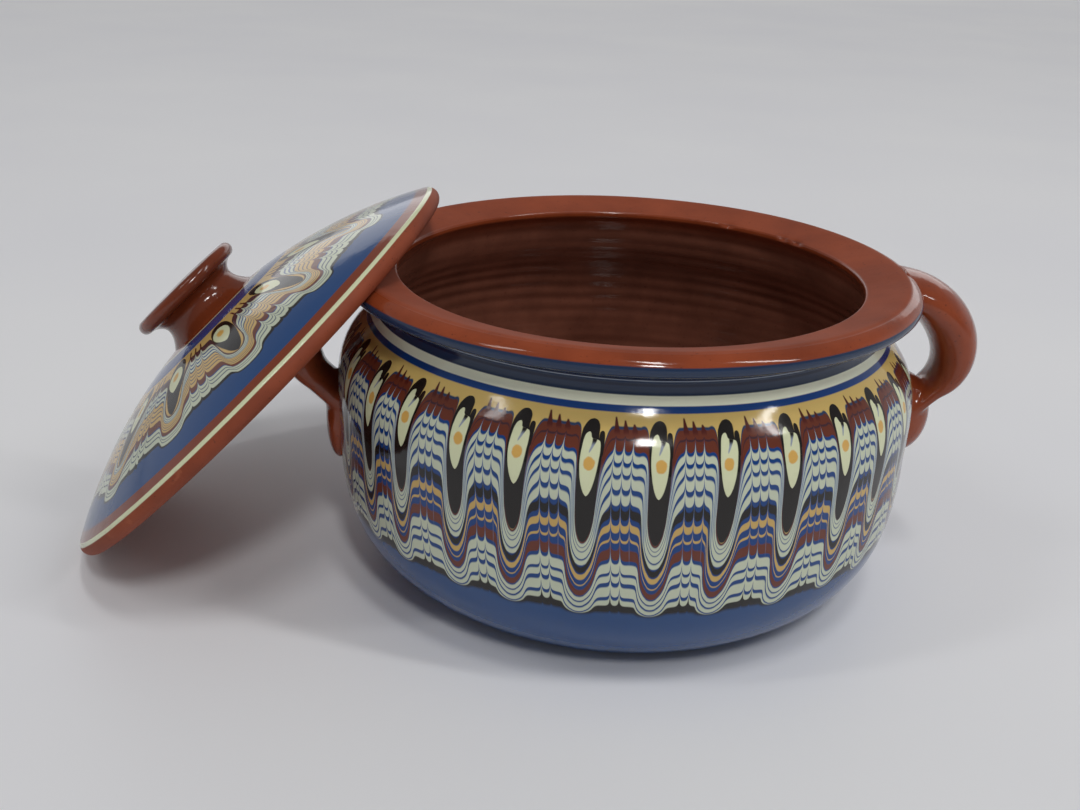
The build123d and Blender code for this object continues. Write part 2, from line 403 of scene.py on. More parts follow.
# Surface of glaze and clay: noise is scale per metre, detail and roughness, bumps are in metres
GLAZE_IOR = 1.46
NOISE_RANGE = (0.3, 0.7)
CLOUD_NOISE = (35.0, 4.0, 0.6)
SPECK_NOISE = (900.0, 1.0)
SPECK_EDGE = (0.72, 0.04)
SPECK_SHARE = 0.5
GLOSS_NOISE = (60.0, 3.0)
SKIN_NOISE = (160.0, 2.0)
DRAG_NOISE = (75.0, 3.0, 0.6)
SLIP_GLOSS = (0.07, 0.13)
CLAY_GLOSS = (0.08, 0.16)
POT_BUMP = 0.00012
LID_BUMP = 0.00008
CLAY_BUMP = 0.00035
DULL = 0.6
SEAT_DULL = 0.7
BORDER_SCALE = 30.0
BORDER_WAVE = 0.6

# Stretches of the pot and the lid with their own surface, along the same measures as their patterns
INSIDE_EDGE = (-52.0, 6.0)
BASE_EDGE = (137.0, 0.6)
SEAT_STRETCH = ((-44.0, 1.0), (-26.5, 1.0))
INNER_RING_WAVE = 1.1
INNER_RING_SCALE = 9.0
INNER_RING_WANDER = 9.0
INNER_RING_SHADE = 0.25
INNER_RING_BUMP = 0.8
SKIN_BUMP = 0.6
LID_BORDER = (106.3, 0.25)
WEAR_NOISE = (55.0, 4.0, 0.7)
WEAR_EDGE = (0.66, 0.03)
WEAR_STRETCH = ((106.0, 1.5), (114.0, 1.5))
WEAR_SHARE = 0.5
WEAR_DULL = 0.1

# Camera fitted to the photograph: place in metres, turns in radians, focal length and width in its pixels
EYE = (-0.04523, -0.51696, 0.27860)
PAN = 0.02097
TILT = 0.3892
ROLL = -0.0437
FOCAL_PIXELS = 1300
PHOTO_WIDTH = 1080
SENSOR_WIDTH = 36.0
NEAREST_SEEN = 0.01

# Stage: floor and surroundings, then lamps with place, target and size in metres and power in watts
FLOOR_HALF = 6.0
FLOOR_NOISE = 3.0
FLOOR_DULL = 0.5
SKY_COLOUR = (0.97, 0.97, 1.0, 1)
SKY_STRENGTH = 0.20
SKY_GLOW = 0.3
GLOW_BEHIND = (-0.35, 0.35)
GLOW_HEIGHT = (0.15, 0.5)
POT_MIDDLE = (0, 0, 0.05)
LAMPS = (
    ("near_tube", (0.32, -1.0, 3.0), POT_MIDDLE, (0.28, 0.68), 12.5),
    ("far_tube", (0.40, -2.7, 3.0), POT_MIDDLE, (0.40, 0.60), 31),
    ("left_tube", (-2.1, -0.9, 3.0), POT_MIDDLE, (0.28, 1.20), 9),
    ("right_tube", (2.3, -0.95, 3.0), POT_MIDDLE, (0.24, 1.80), 26),
    ("back_wash", (0.0, 5.0, 1.6), (0, 1.5, 0), (8.0, 2.0), 42),
)


def clamped_spline(points, start, end, count):
    """Smooth cubic through points with chord-length spacing and unit end directions, sampled evenly."""
    p = np.array(points, float)
    t = arc_length(p)
    n = len(p)
    slopes = np.zeros((n, 2))
    system = np.eye(n)
    slopes[0] = np.array(start, float) / np.hypot(*start)
    slopes[-1] = np.array(end, float) / np.hypot(*end)
    right = slopes.copy()
    for i in range(1, n - 1):
        before = t[i] - t[i - 1]
        after = t[i + 1] - t[i]
        system[i, i - 1:i + 2] = (1 / before, 2 / before + 2 / after, 1 / after)
        right[i] = 3 * ((p[i] - p[i - 1]) / before**2 + (p[i + 1] - p[i]) / after**2)
    slopes = np.linalg.solve(system, right)
    out = []
    for s in np.linspace(0, t[-1], count):
        i = min(int(np.searchsorted(t, s, side="right")) - 1, n - 2)
        h = t[i + 1] - t[i]
        f = (s - t[i]) / h
        out.append(
            (2 * f**3 - 3 * f**2 + 1) * p[i]
            + (f**3 - 2 * f**2 + f) * h * slopes[i]
            + (3 * f**2 - 2 * f**3) * p[i + 1]
            + (f**3 - f**2) * h * slopes[i + 1]
        )
    return np.array(out)


def arc(centre, radius, first, last, count):
    """Points on a circle between two angles in degrees."""
    angles = np.radians(np.linspace(first, last, count))
    return np.array(centre) + radius * np.c_[np.cos(angles), np.sin(angles)]


def joined(*runs):
    """One outline from runs that meet end to end."""
    rows = [runs[0]] + [run[1:] for run in runs[1:]]
    return np.concatenate(rows)


def arc_length(outline):
    """Distance along an outline to each of its points."""
    return np.r_[0, np.cumsum(np.hypot(*np.diff(outline, axis=0).T))]


def pot_outside():
    """Outside of the pot from the middle of the base up to the neck."""
    foot_chord = np.array(FOOT_EDGE) - np.array((BASE_RADIUS, 0))
    turn = 2 * math.atan2(foot_chord[1], foot_chord[0])
    foot_radius = np.hypot(*foot_chord) / (2 * math.sin(turn / 2))
    foot_way = (math.cos(turn), math.sin(turn))
    base = np.linspace((0, 0), (BASE_RADIUS, 0), num=6)
    foot = arc((BASE_RADIUS, foot_radius), foot_radius, -90, -90 + math.degrees(turn), count=8)
    lower = clamped_spline((FOOT_EDGE, LOWER_WALL, BELLY), foot_way, (0, 1), count=50)
    upper = clamped_spline((BELLY, SHOULDER, NECK), (0, 1), (0, 1), count=52)
    return joined(base, foot, lower, upper)


def pot_rim():
    """Rim of the pot from the neck, over the crest and the lid's seat, down to the lip's foot."""
    under = clamped_spline((NECK, RIM_FOOT), (0, 1), (1, 0), count=24)
    curl = arc((RIM_FOOT[0], RIM_WIDEST[1]), RIM_WIDEST[1] - RIM_FOOT[1], -90, 0, count=10)
    face = clamped_spline((RIM_WIDEST, RIM_CREST), (0, 1), (-1, 0), count=14)
    seat_slope = np.array(SEAT_EDGE) - np.array(RIM_CREST)
    seat_end = np.array(SEAT_EDGE) - SEAT_EDGE_ROUND * seat_slope / np.hypot(*seat_slope)
    corner_end = (SEAT_EDGE[0], SEAT_EDGE[1] - SEAT_EDGE_ROUND)
    seat = np.linspace(RIM_CREST, seat_end, num=8)
    corner = clamped_spline((seat_end, corner_end), seat_slope, (0, -1), count=6)
    lip = np.linspace(corner[-1], LIP_FOOT, num=4)
    return joined(under, curl, face, seat, corner, lip)


def pot_inside():
    """Inside of the pot from the lip's foot down to the middle of the floor."""
    neck = (NECK[0] - THROAT_WALL, NECK[1])
    shoulder = (SHOULDER[0] - WALL_DIAGONAL, SHOULDER[1] - WALL_DIAGONAL)
    belly = (BELLY[0] - WALL, BELLY[1])
    low = (LOWER_WALL[0] - WALL_DIAGONAL, LOWER_WALL[1] + WALL_DIAGONAL)
    corner = (BASE_RADIUS, FLOOR)
    throat = clamped_spline((LIP_FOOT, neck), (1, -1), (0, -1), count=10)
    upper = clamped_spline((neck, shoulder, belly), (0, -1), (0, -1), count=40)
    lower = clamped_spline((belly, low, corner), (0, -1), (-1, 0), count=44)
    floor = np.linspace(corner, (0, FLOOR), num=30)
    return joined(throat, upper, lower, floor)


def pot_outline():
    """Whole pot outline, with millimetres below the neck along it as measure."""
    outside = pot_outside()
    outline = joined(outside, pot_rim(), pot_inside())
    along = arc_length(outline)
    return outline, along[len(outside) - 1] - along


def lid_outline():
    """Lid outline from the dome's top, over the edge and under the hollow, with the radius as measure."""
    dome_angle = math.degrees(math.asin(LID_SHOULDER / DOME_RADIUS))
    dome = arc((0, LID_TOP - DOME_RADIUS), DOME_RADIUS, 90, 90 - dome_angle, count=70)
    half = LID_EDGE_HEIGHT / 2
    edge_radius = (half**2 + LID_EDGE_ROUND**2) / (2 * LID_EDGE_ROUND)
    edge_angle = math.degrees(math.asin(half / edge_radius))
    edge = arc((LID_RADIUS - edge_radius, half), edge_radius, edge_angle, -edge_angle, count=18)
    land_end = (LID_SHOULDER - LID_EDGE_LAND, 0)
    land = np.linspace((LID_SHOULDER, 0), land_end, num=3)
    hollow_rise = LID_TOP - LID_WALL
    hollow_radius = (land_end[0]**2 + hollow_rise**2) / (2 * hollow_rise)
    hollow_angle = math.degrees(math.asin(land_end[0] / hollow_radius))
    hollow = arc((0, hollow_rise - hollow_radius), hollow_radius, 90 - hollow_angle, 90, count=60)
    outline = joined(dome, edge, land, hollow)
    measure = outline[:, 0].copy()
    past_dome = arc_length(outline[len(dome) - 1:])
    measure[len(dome) - 1:] = LID_SHOULDER + past_dome
    return outline, measure


def knob_outline():
    """Knob outline from its seat on the dome to the top of its crown."""
    drop = DOME_RADIUS - math.sqrt(DOME_RADIUS**2 - KNOB_BASE_RADIUS**2)
    seat_end = (KNOB_BASE_RADIUS, LID_TOP - drop)
    foot = clamped_spline((seat_end, KNOB_NECK), (-1, 1), (0, 1), count=18)
    cap_round = KNOB_CAP_THICKNESS / 2
    flat = KNOB_CAP_RADIUS - cap_round
    flare = clamped_spline((KNOB_NECK, (flat, KNOB_TOP - KNOB_CAP_THICKNESS)), (0, 1), (1, 0), count=20)
    cap = arc((flat, KNOB_TOP - cap_round), cap_round, -90, 90, count=12)
    crown_radius = (flat**2 + KNOB_CROWN**2) / (2 * KNOB_CROWN)
    crown_angle = math.degrees(math.asin(flat / crown_radius))
    crown_middle = (0, KNOB_TOP + KNOB_CROWN - crown_radius)
    crown = arc(crown_middle, crown_radius, 90 - crown_angle, 90, count=16)
    outline = joined(foot, flare, cap, crown)
    return outline, arc_length(outline)


def hand_thrown(radius, height, angle, measure):
    """Slight unevenness of a thrown wall, never past the outside of the true outline."""
    sway = SWAY_MIDDLE
    for share, waves, phase, twist in SWAYS:
        sway = sway + share * np.sin(waves * angle + phase + twist * measure)
    inner = np.clip((-measure - THROWN_FROM) / THROWN_RISE, 0, 1)
    inner = inner * np.clip((THROWN_TO + measure) / THROWN_FADE, 0, 1)
    wander = THROWN_WANDER * np.sin(angle + measure * THROWN_TWIST)
    ring = THROWN_DEPTH * np.sin(measure * THROWN_WAVE + wander) * inner
    groove = sum(np.exp(-((measure + at) / width) ** 2) for at, width in NECK_GROOVES)
    chip = 0
    for at, width in RIM_CHIPS:
        round_way = np.exp(-((angle - math.radians(at)) / math.radians(width)) ** 2)
        chip = chip + round_way * np.exp(-((measure - RIM_EDGE_MEASURE) / CHIP_LENGTH) ** 2)
    top = np.clip((height - RIM_SWAY_START) / RIM_SWAY_RISE, 0, 1)
    radius = radius * (1 - WALL_SWAY * sway) + ring - GROOVE_DEPTH * groove + CHIP_DEPTH * chip
    return radius, height - RIM_SWAY * sway * top - CHIP_FALL * chip


def new_piece(name, mesh):
    """Smoothly shaded object of a mesh."""
    mesh.polygons.foreach_set("use_smooth", [True] * len(mesh.polygons))
    piece = bpy.data.objects.new(name, mesh)
    bpy.context.collection.objects.link(piece)
    return piece


def ring_faces(count, around):
    """Faces between neighbouring rings of points."""
    faces = []
    for here in range(0, (count - 1) * around, around):
        there = here + around
        for j in range(around):
            k = (j + 1) % around
            faces.append((here + j, here + k, there + k, there + j))
    return faces


def lathe(name, outline, measure, around, shape=None):
    """Turned mesh with a map of turn and measure; shape may move its radius and height."""
    closed_start = outline[0, 0] < ON_AXIS
    closed_end = outline[-1, 0] < ON_AXIS
    first = 1 if closed_start else 0
    last = len(outline) - (1 if closed_end else 0)
    rings = outline[first:last]
    levels = measure[first:last]
    angles = np.arange(around) * 2 * np.pi / around
    radius = np.repeat(rings[:, :1], around, axis=1)
    height = np.repeat(rings[:, 1:], around, axis=1)
    if shape is not None:
        radius, height = shape(radius, height, angles[None, :], levels[:, None])
    points = np.stack([radius * np.cos(angles), radius * np.sin(angles), height], -1).reshape(-1, 3)
    verts = [tuple(p) for p in points * MM]
    faces = ring_faces(len(rings), around)
    turns = [(j / around, (j + 0.5) / around, (j + 1) / around) for j in range(around)]
    maps = []
    for low, high in zip(levels, levels[1:]):
        maps += [((left, low), (right, low), (right, high), (left, high)) for left, _, right in turns]
    tips = ((closed_start, 0, 0), (closed_end, -1, (len(rings) - 1) * around))
    for closed, end, base in tips:
        if closed:
            tip = len(verts)
            verts.append((0, 0, outline[end, 1] * MM))
            faces += [(tip, base + j, base + (j + 1) % around) for j in range(around)]
            top = measure[end]
            level = levels[end]
            maps += [((middle, top), (left, level), (right, level)) for left, middle, right in turns]
    mesh = bpy.data.meshes.new(name)
    mesh.from_pydata(verts, [], faces)
    layer = mesh.uv_layers.new(name="Pattern")
    flat = [c for face in maps for turn, level in face for c in (turn, level / MAP_UNIT)]
    layer.uv.foreach_set("vector", flat)
    mesh.update()
    return new_piece(name, mesh)


def outward(piece):
    """Turns faces so that they look out of the closed mesh."""
    bm = bmesh.new()
    bm.from_mesh(piece.data)
    bmesh.ops.recalc_face_normals(bm, faces=bm.faces)
    bm.to_mesh(piece.data)
    bm.free()


class Graph:
    """Short ways to add nodes to one node tree."""

    def __init__(self, tree):
        self.tree = tree

    def add(self, kind, **settings):
        node = self.tree.nodes.new(kind)
        for name, value in settings.items():
            setattr(node, name, value)
        return node

    def plug(self, socket, value):
        if isinstance(value, bpy.types.NodeSocket):
            self.tree.links.new(value, socket)
        else:
            socket.default_value = value

    def fed(self, kind, values, **settings):
        """New node with a value or a link on each socket that is named or numbered."""
        node = self.add(kind, **settings)
        for socket, value in values.items():
            self.plug(node.inputs[socket], value)
        return node

    def math(self, operation, *values):
        return self.fed("ShaderNodeMath", dict(enumerate(values)), operation=operation).outputs[0]

    def plus(self, a, b):
        return self.math("ADD", a, b)

    def minus(self, a, b):
        return self.math("SUBTRACT", a, b)

    def times(self, a, b):
        return self.math("MULTIPLY", a, b)

    def over(self, a, b):
        return self.math("DIVIDE", a, b)

    def size(self, a):
        return self.math("ABSOLUTE", a)

    def step(self, value, middle, soft):
        """0 below the middle and 1 above it, over a soft width."""
        values = {"Value": value, "From Min": middle - soft, "From Max": middle + soft}
        return self.fed("ShaderNodeMapRange", values, interpolation_type="SMOOTHSTEP").outputs["Result"]

    def below(self, value, limit, soft):
        """1 below a limit and 0 above it, over a soft width."""
        return self.step(self.times(value, -1.0), -limit, soft)

    def between(self, value, low, high):
        """1 between a low and a high edge, each a level and its softness."""
        return self.times(self.step(value, *low), self.below(value, *high))

    def within(self, half, off, soft):
        """1 where an offset is smaller than a half width."""
        return self.step(self.minus(half, self.size(off)), 0.0, soft)

    def ramp(self, value, low, high, to_low, to_high):
        """A value stretched from one range to another."""
        values = {"Value": value, "From Min": low, "From Max": high, "To Min": to_low, "To Max": to_high}
        return self.fed("ShaderNodeMapRange", values).outputs["Result"]

    def mix(self, share, a, b):
        return self.fed("ShaderNodeMix", {0: share, 6: a, 7: b}, data_type="RGBA").outputs[2]

    def curve(self, value, points):
        """Value looked up on a smooth curve through (at, value) points, both measured in real units."""
        low = points[0][0]
        high = points[-1][0]
        levels = [v for _, v in points]
        bottom = min(levels)
        span = max(levels) - bottom
        node = self.add("ShaderNodeFloatCurve")
        line_of = node.mapping.curves[0]
        rows = [((at - low) / (high - low), (v - bottom) / span) for at, v in points]
        line_of.points[0].location = rows[0]
        line_of.points[1].location = rows[-1]
        for row in rows[1:-1]:
            line_of.points.new(*row)
        node.mapping.update()
        share = self.ramp(value, low, high, 0, 1)
        self.plug(node.inputs["Value"], share)
        return self.plus(self.times(node.outputs[0], span), bottom)

    def noise(self, place, scale, detail=2.0, roughness=0.5):
        values = {"Vector": place, "Scale": scale, "Detail": detail, "Roughness": roughness}
        return self.fed("ShaderNodeTexNoise", values).outputs[0]

    def drift(self, place, scale, detail=2.0):
        """Noise about zero."""
        return self.minus(self.noise(place, scale, detail), 0.5)

    def chance(self, index):
        """Three even chances, from 0 to 1, that belong to an index."""
        node = self.fed("ShaderNodeTexWhiteNoise", {"W": index}, noise_dimensions="1D")
        parts = self.fed("ShaderNodeSeparateColor", {0: node.outputs["Color"]})
        return parts.outputs[0], parts.outputs[1], parts.outputs[2]

    def spread(self, chance, width):
        """A chance made into an offset of plus or minus a width."""
        return self.times(self.minus(chance, 0.5), 2 * width)


def stripe_group(name, dip):
    """Node group that lays one stripe of slip over what is above it, dipping round drops and combed up."""
    tree = bpy.data.node_groups.new(name, "ShaderNodeTree")
    for socket in ("Across", "Down", "Comb", "Level", "Dip", "Width", "Soft"):
        tree.interface.new_socket(socket, in_out="INPUT", socket_type="NodeSocketFloat")
    for socket in ("Above", "Slip"):
        tree.interface.new_socket(socket, in_out="INPUT", socket_type="NodeSocketColor")
    tree.interface.new_socket("Colour", in_out="OUTPUT", socket_type="NodeSocketColor")
    g = Graph(tree)
    start = g.add("NodeGroupInput").outputs
    share = g.curve(g.over(start["Across"], start["Width"]), dip)
    edge = g.minus(g.plus(start["Level"], g.times(start["Dip"], share)), start["Comb"])
    past_edge = g.minus(start["Down"], edge)
    values = {"Value": past_edge, "From Min": g.times(start["Soft"], -1.0), "From Max": start["Soft"]}
    covered = g.fed("ShaderNodeMapRange", values, interpolation_type="SMOOTHSTEP").outputs["Result"]
    g.fed("NodeGroupOutput", {0: g.mix(covered, start["Above"], start["Slip"])})
    return tree


def lay_stripes(g, colour, across, down, comb, rows, group):
    """Lays combed stripes over a colour, one below the other."""
    for level, dip, width, gain, soft, slip in rows:
        values = (across, down, g.times(comb, gain), level, dip, width, soft, colour, slip)
        colour = g.fed("ShaderNodeGroup", dict(enumerate(values)), node_tree=group).outputs[0]
    return colour


def lay_rings(g, colour, level, rings):
    """Lays plain rings over a colour, each from its start onwards."""
    for start, soft, slip in rings:
        colour = g.mix(g.step(level, start, soft), colour, slip)
    return colour


def lay_dot(g, colour, x, y, place, halves, edge, soft, grain, ragged):
    """Lays a ragged ochre dot over a colour, from the offsets to its middle."""
    x = g.over(x, halves[0])
    y = g.over(y, halves[1])
    away = g.math("SQRT", g.plus(g.times(x, x), g.times(y, y)))
    away = g.plus(away, g.times(g.drift(place, grain), ragged))
    return g.mix(g.below(away, edge, soft), colour, PALE_OCHRE)


def drop_cell(g, turn, drops, phase, pitch, wobble):
    """Place from the nearest drop and that drop's chances, then the same for the column between drops."""
    place = g.plus(g.plus(g.times(turn, drops), phase), wobble)
    drop_chance = g.chance(g.math("FLOORED_MODULO", g.math("FLOOR", place), drops))
    across = g.times(g.minus(g.math("FRACT", place), 0.5), pitch)
    shifted = g.plus(place, 0.5)
    column = g.math("FLOORED_MODULO", g.math("FLOOR", shifted), drops)
    column_chance = g.chance(g.plus(column, COLUMN_SEED))
    beside = g.times(g.minus(g.math("FRACT", shifted), 0.5), pitch)
    return across, drop_chance, beside, column_chance


def comb_lift(g, beside, lines, strengths, cusp, core):
    """How far the comb's teeth drag the slip upwards: a wide cusp and a thin core along each line."""
    total = 0.0
    for place, strength in zip(lines, strengths):
        away = g.size(g.minus(beside, place))
        wide = g.times(g.math("EXPONENT", g.times(away, -1 / cusp[0])), cusp[1])
        thin = g.times(g.math("EXPONENT", g.times(away, -1 / core[0])), core[1])
        total = g.plus(total, g.times(g.plus(wide, thin), strength))
    return total


def inside_of(g, across, left, right, soft):
    """1 between a left and a right edge."""
    gap = g.math("MINIMUM", g.minus(across, left), g.minus(right, across))
    return g.step(gap, 0.0, soft)


def pot_fingers(g, colour, beside, level):
    """Lays the fingers above the comb's lines and the pale threads along them."""
    trail = 0.0
    for place, top in zip(POT_COMB, FINGER_TOPS):
        off_line = g.minus(beside, place)
        trail = g.math("MAXIMUM", trail, g.below(g.size(off_line), *THREAD_HALF))
        off_finger = g.minus(off_line, g.times(g.minus(level, FINGER_LEAN_ABOUT), FINGER_LEAN))
        half = g.ramp(level, top, *FINGER_HALF_RAMP)
        length = g.between(level, (top, FINGER_TOP_SOFT), FINGER_END)
        finger = g.times(g.within(half, off_finger, FINGER_SOFT), length)
        colour = g.mix(finger, colour, PLUM)
    thread = g.times(trail, g.between(level, *THREAD_DOWN))
    return g.mix(g.times(thread, THREAD_SHARE), colour, PALE_BLUE)


def pot_drop(g, colour, across, down):
    """Lays a drop: black with a lobe at its right, and a cream heart with a streak."""
    black = inside_of(g, across, g.curve(down, DROP_LEFT), g.curve(down, DROP_RIGHT), DROP_SOFT)
    colour = g.mix(black, colour, BLACK)
    lobe = g.within(g.curve(down, LOBE_HALF), g.minus(across, LOBE_ACROSS), DROP_SOFT)
    colour = g.mix(lobe, colour, BLACK)
    left = g.curve(down, HEART_LEFT)
    right = g.curve(down, HEART_RIGHT)
    colour = g.mix(inside_of(g, across, left, right, HEART_SOFT), colour, CREAM)
    off_streak = g.minus(across, g.curve(down, STREAK_ACROSS))
    streak = g.within(g.curve(down, STREAK_HALF), off_streak, STREAK_SOFT)
    streak = g.times(streak, inside_of(g, across, left, right, STREAK_END_SOFT))
    return g.mix(streak, colour, g.mix(g.step(down, *STREAK_FADE), BLACK, STREAK_AND_GLINT))


def pot_pattern(g, turn, down, place, soft_stripe, sharp_stripe):
    """Colour of the pot from turn and millimetres below the neck: neck rings with painted groove shade, a
    painted groove highlight and a cream ring painted brighter, combed stripes and drops.
    """
    wave = g.drift(place, POT_WAVE_SCALE)
    side_wave = g.times(g.drift(place, POT_SIDE_SCALE, detail=1.0), POT_SIDE_WAVE)
    level = g.plus(down, g.times(wave, POT_WAVE))
    across, one, beside, other = drop_cell(g, turn, POT_DROPS, POT_DROP_PHASE, POT_PITCH, side_wave)
    slant = g.times(g.spread(one[1], DROP_SLANT), g.minus(down, DROP_SLANT_ABOUT))
    across = g.minus(g.minus(across, g.spread(one[0], DROP_SHIFT)), slant)
    drop_down = g.minus(level, g.spread(one[2], DROP_FALL))
    bow = g.times(g.size(g.minus(down, COMB_BOW_ABOUT)), COMB_BOW)
    lean_of = g.plus(bow, g.spread(other[1], COLUMN_LEAN))
    beside = g.minus(g.minus(beside, g.spread(other[0], COLUMN_SHIFT)), lean_of)
    strengths = (1.0, 1.0, g.below(down, *LAST_LINE_END))
    comb = comb_lift(g, beside, POT_COMB, strengths, POT_CUSP, POT_CORE)
    # Neck rings, among them painted shade in the grooves, a painted highlight between them and a cream ring
    # painted brighter
    colour = lay_rings(g, DARK_CLAY, g.plus(down, g.times(wave, POT_RING_WAVE)), POT_RINGS)
    colour = lay_stripes(g, colour, across, level, comb, UPPER_STRIPES, soft_stripe)
    colour = lay_stripes(g, colour, across, level, comb, LOWER_STRIPES, sharp_stripe)
    flank = g.times(g.between(g.size(across), *FLANK_ACROSS), g.between(level, *FLANK_DOWN))
    colour = g.mix(g.times(flank, FLANK_SHARE), colour, PALE_BLUE)
    colour = pot_fingers(g, colour, beside, level)
    colour = pot_drop(g, colour, across, drop_down)
    dot_across = g.minus(across, g.plus(POT_DOT_ACROSS, g.spread(one[1], POT_DOT_SHIFT)))
    return lay_dot(g, colour, dot_across, g.minus(drop_down, POT_DOT_DOWN), place, **POT_DOT)


def lid_pattern(g, turn, radius, place, soft_stripe):
    """Colour of the lid from turn and radius: ring round the knob, stripes and drops, banded edge."""
    wave = g.drift(place, LID_WAVE_SCALE)
    side_wave = g.times(g.drift(place, LID_SIDE_SCALE, detail=1.0), LID_SIDE_WAVE)
    level = g.plus(radius, g.times(wave, LID_WAVE))
    across, one, beside, other = drop_cell(g, turn, LID_DROPS, LID_DROP_PHASE, LID_PITCH, side_wave)
    across = g.minus(across, g.spread(one[0], LID_DROP_SHIFT))
    fall = g.ramp(level, *LID_FALL_RAMP)
    drop_down = g.minus(level, g.times(fall, g.spread(one[1], LID_DROP_FALL)))
    beside = g.minus(beside, g.spread(other[0], LID_COLUMN_SHIFT))
    comb = comb_lift(g, beside, LID_COMB, (1.0, 1.0, 1.0), LID_CUSP, LID_CORE)
    colour = lay_rings(g, DARK_CLAY, g.plus(radius, g.times(wave, LID_RING_WAVE)), LID_RINGS)
    colour = lay_stripes(g, colour, across, drop_down, comb, LID_STRIPES, soft_stripe)
    for line_at in LID_COMB:
        tick = g.below(g.size(g.minus(beside, line_at)), *TICK_HALF)
        colour = g.mix(g.times(tick, g.between(level, *TICK_DOWN)), colour, PLUM)
    colour = g.mix(g.within(g.curve(drop_down, LID_DROP_HALF), across, LID_DROP_SOFT), colour, BLACK)
    off_heart = g.minus(across, LID_HEART_ACROSS)
    colour = g.mix(g.within(g.curve(drop_down, LID_HEART_HALF), off_heart, LID_HEART_SOFT), colour, CREAM)
    dot_across = g.minus(across, LID_DOT_ACROSS)
    colour = lay_dot(g, colour, dot_across, g.minus(drop_down, LID_DOT_DOWN), place, **LID_DOT)
    return lay_rings(g, colour, g.plus(radius, wave), LID_EDGE_BANDS)


def shader(material, colour, roughness, bump=None, bump_size=0.0):
    """Gives a material its surface: colour and roughness, and an optional bump."""
    g = Graph(material.node_tree)
    principled = material.node_tree.nodes["Principled BSDF"]
    principled.inputs["IOR"].default_value = GLAZE_IOR
    g.plug(principled.inputs["Base Color"], colour)
    g.plug(principled.inputs["Roughness"], roughness)
    if bump is not None:
        node = g.fed("ShaderNodeBump", {"Strength": 1.0, "Distance": bump_size, "Height": bump})
        g.plug(principled.inputs["Normal"], node.outputs[0])


def new_material(name):
    """Empty node material and its graph, with object coordinates."""
    material = bpy.data.materials.new(name)
    material.use_nodes = True
    g = Graph(material.node_tree)
    place = g.add("ShaderNodeTexCoord").outputs["Object"]
    return material, g, place


def pattern_map(g):
    """Turn (0 to 1) and measure in millimetres from the piece's own map."""
    node = g.add("ShaderNodeUVMap", uv_map="Pattern")
    parts = g.fed("ShaderNodeSeparateXYZ", {0: node.outputs[0]})
    return parts.outputs[0], g.times(parts.outputs[1], MAP_UNIT)


def clay_tone(g, place, light, dark):
    """Red clay under clear glaze, with cloudy tone and fine specks."""
    cloud = g.noise(place, *CLOUD_NOISE)
    speck = g.noise(place, *SPECK_NOISE)
    colour = g.mix(g.ramp(cloud, *NOISE_RANGE, 0.0, 1.0), dark, light)
    return g.mix(g.times(g.step(speck, *SPECK_EDGE), SPECK_SHARE), colour, DEEP_CLAY)


def gloss(g, place, low, high):
    """Roughness that varies a little over the glaze."""
    return g.ramp(g.noise(place, *GLOSS_NOISE), *NOISE_RANGE, low, high)


def pot_material(soft_stripe, sharp_stripe):
    """Slip-decorated outside, red clay rim and inside with throwing rings, dull seat and raw clay base."""
    material, g, place = new_material("pot_slip_glaze")
    turn, down = pattern_map(g)
    clay = clay_tone(g, place, LIGHT_CLAY, DARK_CLAY)
    border = g.plus(down, g.times(g.drift(place, BORDER_SCALE), BORDER_WAVE))
    pattern = pot_pattern(g, turn, down, place, soft_stripe, sharp_stripe)
    colour = g.mix(g.step(border, *RIM_BORDER), clay, pattern)
    wander = g.times(g.noise(place, INNER_RING_SCALE), INNER_RING_WANDER)
    rings = g.math("SINE", g.plus(g.times(down, INNER_RING_WAVE), wander))
    inside = g.below(down, *INSIDE_EDGE)
    colour = g.mix(inside, colour, clay_tone(g, place, INNER_CLAY, INNER_SHADE))
    shade = g.ramp(rings, -1.0, 1.0, 0.0, INNER_RING_SHADE)
    colour = g.mix(g.times(inside, shade), colour, DEEP_CLAY)
    raw = g.step(down, *BASE_EDGE)
    colour = g.mix(raw, colour, RAW_CLAY)
    dull = g.plus(g.times(raw, DULL), g.times(g.between(down, *SEAT_STRETCH), SEAT_DULL))
    rough = g.plus(gloss(g, place, *SLIP_GLOSS), dull)
    thrown = g.times(g.times(inside, rings), INNER_RING_BUMP)
    skin = g.plus(g.times(g.noise(place, *SKIN_NOISE), SKIN_BUMP), thrown)
    shader(material, colour, rough, skin, POT_BUMP)
    return material


def lid_material(soft_stripe):
    """Slip-decorated dome and banded edge, with plain red clay under the lid."""
    material, g, place = new_material("lid_slip_glaze")
    turn, radius = pattern_map(g)
    clay = clay_tone(g, place, LIGHT_CLAY, DARK_CLAY)
    border = g.plus(radius, g.times(g.drift(place, BORDER_SCALE), BORDER_WAVE))
    plain = g.step(border, *LID_BORDER)
    colour = g.mix(plain, lid_pattern(g, turn, radius, place, soft_stripe), clay)
    wear = g.times(g.step(g.noise(place, *WEAR_NOISE), *WEAR_EDGE), g.between(radius, *WEAR_STRETCH))
    colour = g.mix(g.times(wear, WEAR_SHARE), colour, RAW_CLAY)
    dull = g.plus(g.times(plain, DULL), g.times(wear, WEAR_DULL))
    rough = g.plus(gloss(g, place, *SLIP_GLOSS), dull)
    shader(material, colour, rough, g.noise(place, *SKIN_NOISE), LID_BUMP)
    return material


def clay_material(name, light, dark):
    """Red clay under clear glaze, for the handles and the knob."""
    material, g, place = new_material(name)
    colour = clay_tone(g, place, light, dark)
    shader(material, colour, gloss(g, place, *CLAY_GLOSS), g.noise(place, *DRAG_NOISE), CLAY_BUMP)
    return material


